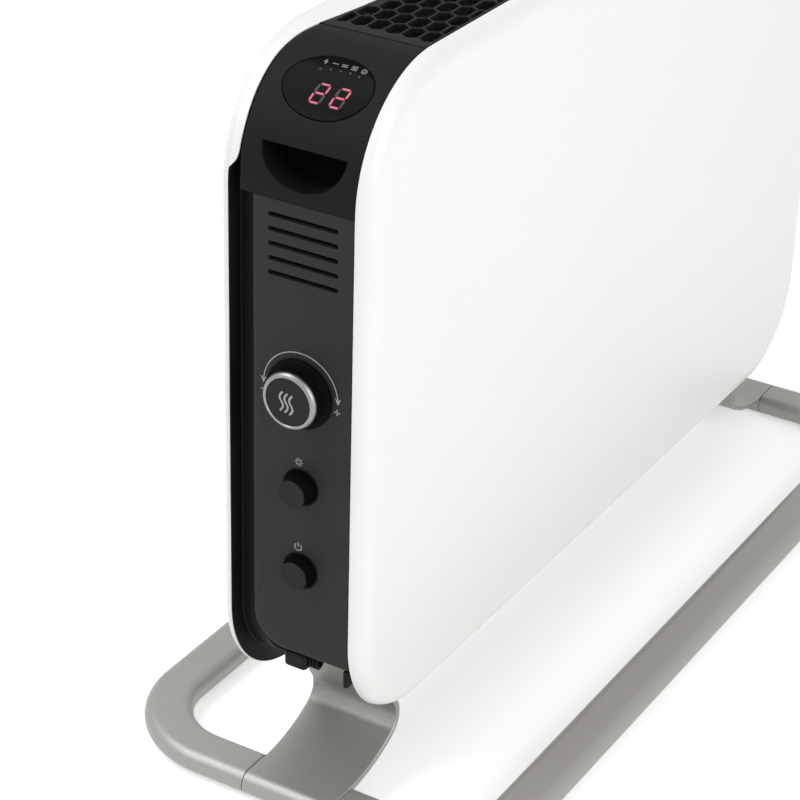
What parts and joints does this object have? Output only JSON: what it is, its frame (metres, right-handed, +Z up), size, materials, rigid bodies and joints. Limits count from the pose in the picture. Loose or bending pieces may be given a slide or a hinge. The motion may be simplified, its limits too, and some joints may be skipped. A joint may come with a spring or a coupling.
{
  "type": "convector heater",
  "caption": "Free-standing electric panel convector heater: white pressed shells, black honeycomb outlet, end panel with knob, buttons and digital display, tubular sled stand.",
  "frame": {"origin": "on the floor, in the middle of the stand's loop", "axes": "+X along the heater away from the control end, +Y from the front shell to the back shell, +Z up"},
  "size_m": [0.6272, 0.267, 0.4586],
  "materials": {
    "white_enamel": "satin baked enamel on pressed steel sheet",
    "black_plastic": "fine-grained moulded black plastic",
    "dark_plastic": "satin moulded black plastic",
    "bright_ring": "bright plated plastic ring with turned grain",
    "smoked_window": "glossy smoked plastic window",
    "silver_paint": "satin silver paint on steel tube and strip",
    "cast_aluminium": "sand-grey cast aluminium",
    "zinc_sheet": "zinc plated steel",
    "ceramic": "steatite ceramic",
    "circuit_board": "green circuit board with mask",
    "black_rubber": "matt black rubber",
    "pale_nylon": "natural nylon"
  },
  "bodies": {
    "heater": {"front_shell": "white_enamel", "back_shell": "white_enamel", "left_end_cap": "black_plastic", "right_end_cap": "black_plastic", "control_panel": "black_plastic", "right_end_panel": "black_plastic", "left_rear_frame": "dark_plastic", "right_rear_frame": "dark_plastic", "top_grille": "black_plastic", "base_plate": "dark_plastic", "rotary_encoder": "zinc_sheet", "frost_switch": "pale_nylon", "power_switch": "pale_nylon", "display_window": "smoked_window", "display_module": "dark_plastic", "display_board": "circuit_board", "left_partition": "zinc_sheet", "left_element_bush_1": "ceramic", "left_element_bush_2": "ceramic", "right_partition": "zinc_sheet", "right_element_bush_1": "ceramic", "right_element_bush_2": "ceramic", "heating_element_1": "cast_aluminium", "heating_element_2": "cast_aluminium", "front_heat_shield": "zinc_sheet", "rear_heat_shield": "zinc_sheet", "power_board": "circuit_board", "front_relay": "dark_plastic", "rear_relay": "dark_plastic", "terminal_block": "pale_nylon", "thermal_cutout": "zinc_sheet", "room_sensor": "dark_plastic", "tilt_switch": "pale_nylon", "supply_loom": "black_rubber", "display_loom": "black_rubber", "cable_inlet": "dark_plastic", "shell_clip": "dark_plastic", "front_tube": "silver_paint", "rear_tube": "silver_paint", "left_foot": "silver_paint", "left_front_pad": "black_rubber", "left_rear_pad": "black_rubber", "right_foot": "silver_paint", "right_front_pad": "black_rubber", "right_rear_pad": "black_rubber", "left_front_foot_screw": "zinc_sheet", "left_rear_foot_screw": "zinc_sheet", "right_front_foot_screw": "zinc_sheet", "right_rear_foot_screw": "zinc_sheet"},
    "knob": {"knob_body": "dark_plastic", "knob_ring": "bright_ring", "knob_insert": "dark_plastic"},
    "frost button": {"frost_button": "dark_plastic"},
    "power button": {"power_button": "dark_plastic"}
  },
  "joints": [
    {"name": "knob_turn", "type": "hinge", "parent": "heater", "child": "knob", "pos_m": [-0.2995, -0.00035, 0.27495], "axis": [-1, 0, 0], "continuous": true},
    {"name": "frost_button_press", "type": "slide", "parent": "heater", "child": "frost button", "axis": [1, 0, 0], "range_m": [0, 0.0024], "stiffness_N_per_m": 300},
    {"name": "power_button_release", "type": "slide", "parent": "heater", "child": "power button", "axis": [-1, 0, 0], "range_m": [0, 0.0024]}
  ]
}
